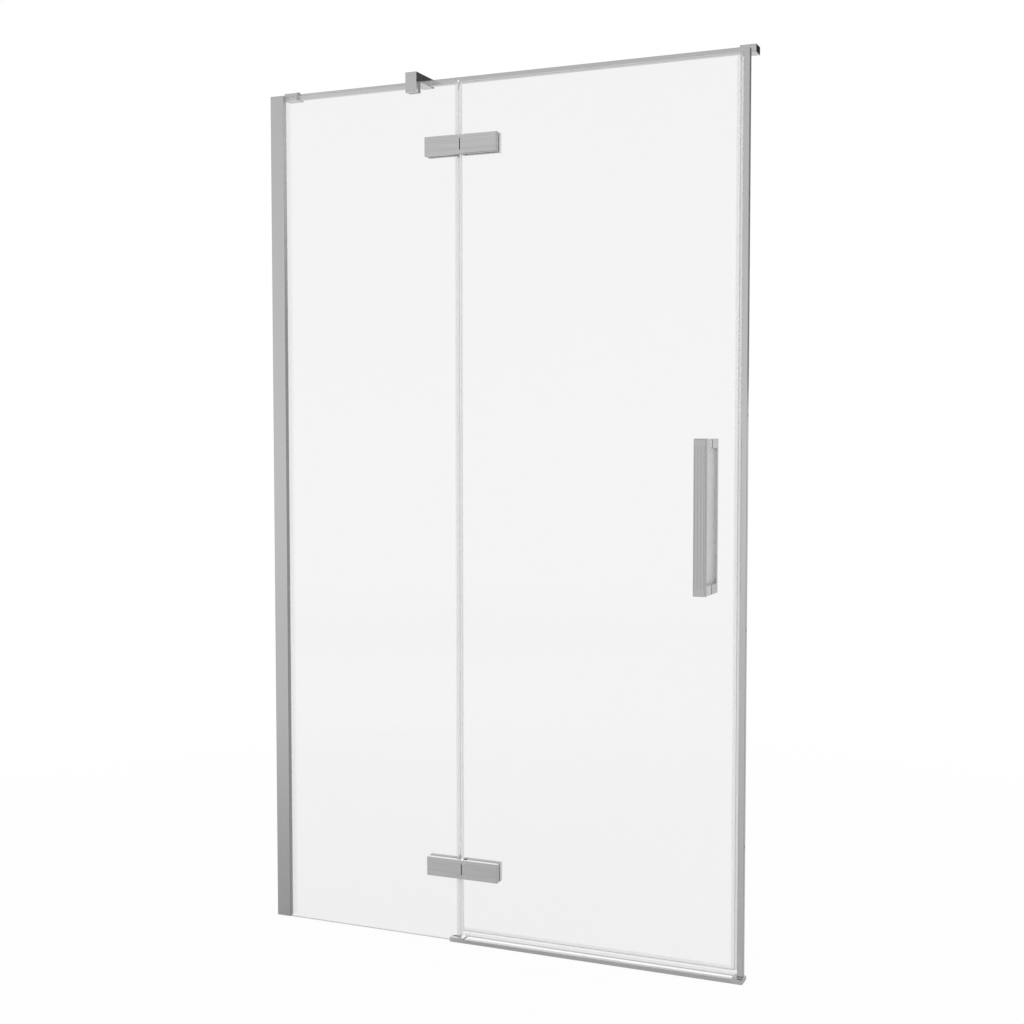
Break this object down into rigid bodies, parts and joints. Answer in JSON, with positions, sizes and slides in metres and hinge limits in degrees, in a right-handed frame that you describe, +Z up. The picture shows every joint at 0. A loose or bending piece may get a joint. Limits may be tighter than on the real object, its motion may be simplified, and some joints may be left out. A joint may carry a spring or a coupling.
{
  "type": "hinged shower door",
  "caption": "Glass shower door between two walls: a fixed pane in a wall post and a pane that swings outwards on glass-to-glass hinges, with pull handles, seals, threshold and stabiliser bar.",
  "frame": {"origin": "on the shower tray, at mid-width, in the middle plane of the glass", "axes": "+X from the left wall to the right wall, +Y into the shower, +Z up"},
  "size_m": [1.17, 0.132, 2.024],
  "materials": {
    "satin_aluminium": "satin anodised extrusion",
    "brushed_steel": "fine brushed satin",
    "steel_fastener": "turned steel",
    "clear_glass": "clear toughened safety glass with polished edges",
    "clear_seal": "clear flexible extrusion",
    "grey_rubber": "moulded grey rubber",
    "black_rubber": "moulded black rubber",
    "grey_plastic": "turned bearing plastic",
    "cap_plastic": "satin grey finish to match the profiles",
    "dark_screw": "black satin coating"
  },
  "bodies": {
    "frame": {"wall_channel": "satin_aluminium", "wall_post": "satin_aluminium", "post_cap": "cap_plastic", "glazing_gasket": "grey_rubber", "post_screws": "steel_fastener", "fixed_pane": "clear_glass", "hinge_upper_frame_front": "brushed_steel", "hinge_upper_frame_back": "brushed_steel", "hinge_lower_frame_front": "brushed_steel", "hinge_lower_frame_back": "brushed_steel", "hinge_frame_gaskets": "grey_rubber", "hinge_frame_screws": "steel_fastener", "hinge_pins": "steel_fastener", "seam_seal_lower": "clear_seal", "seam_seal_middle": "clear_seal", "seam_seal_upper": "clear_seal", "strike_channel": "satin_aluminium", "strike_cover": "satin_aluminium", "strike_foot": "black_rubber", "threshold_rail": "satin_aluminium", "threshold_cap_left": "cap_plastic", "threshold_cap_right": "cap_plastic", "stabiliser_bar": "satin_aluminium", "bar_bracket_left": "satin_aluminium", "bar_bracket_right": "satin_aluminium", "bar_clamp_screw": "dark_screw", "bar_set_screws": "steel_fastener", "glass_clamp": "satin_aluminium", "clamp_pads": "grey_rubber"},
    "door": {"door_pane": "clear_glass", "hinge_upper_door_front": "brushed_steel", "hinge_upper_door_back": "brushed_steel", "hinge_lower_door_front": "brushed_steel", "hinge_lower_door_back": "brushed_steel", "hinge_door_gaskets": "grey_rubber", "hinge_door_screws": "steel_fastener", "hinge_bushes": "grey_plastic", "closing_seal": "clear_seal", "drip_seal": "clear_seal", "handle_outer_grip": "brushed_steel", "handle_inner_grip": "brushed_steel", "handle_outer_posts": "brushed_steel", "handle_inner_posts": "brushed_steel", "handle_washers": "grey_rubber", "handle_studs": "steel_fastener"}
  },
  "joints": [
    {"name": "door_swing", "type": "hinge", "parent": "frame", "child": "door", "pos_m": [-0.0801, -0.012, 1], "axis": [0, 0, -1], "range_deg": [0, 90]}
  ]
}
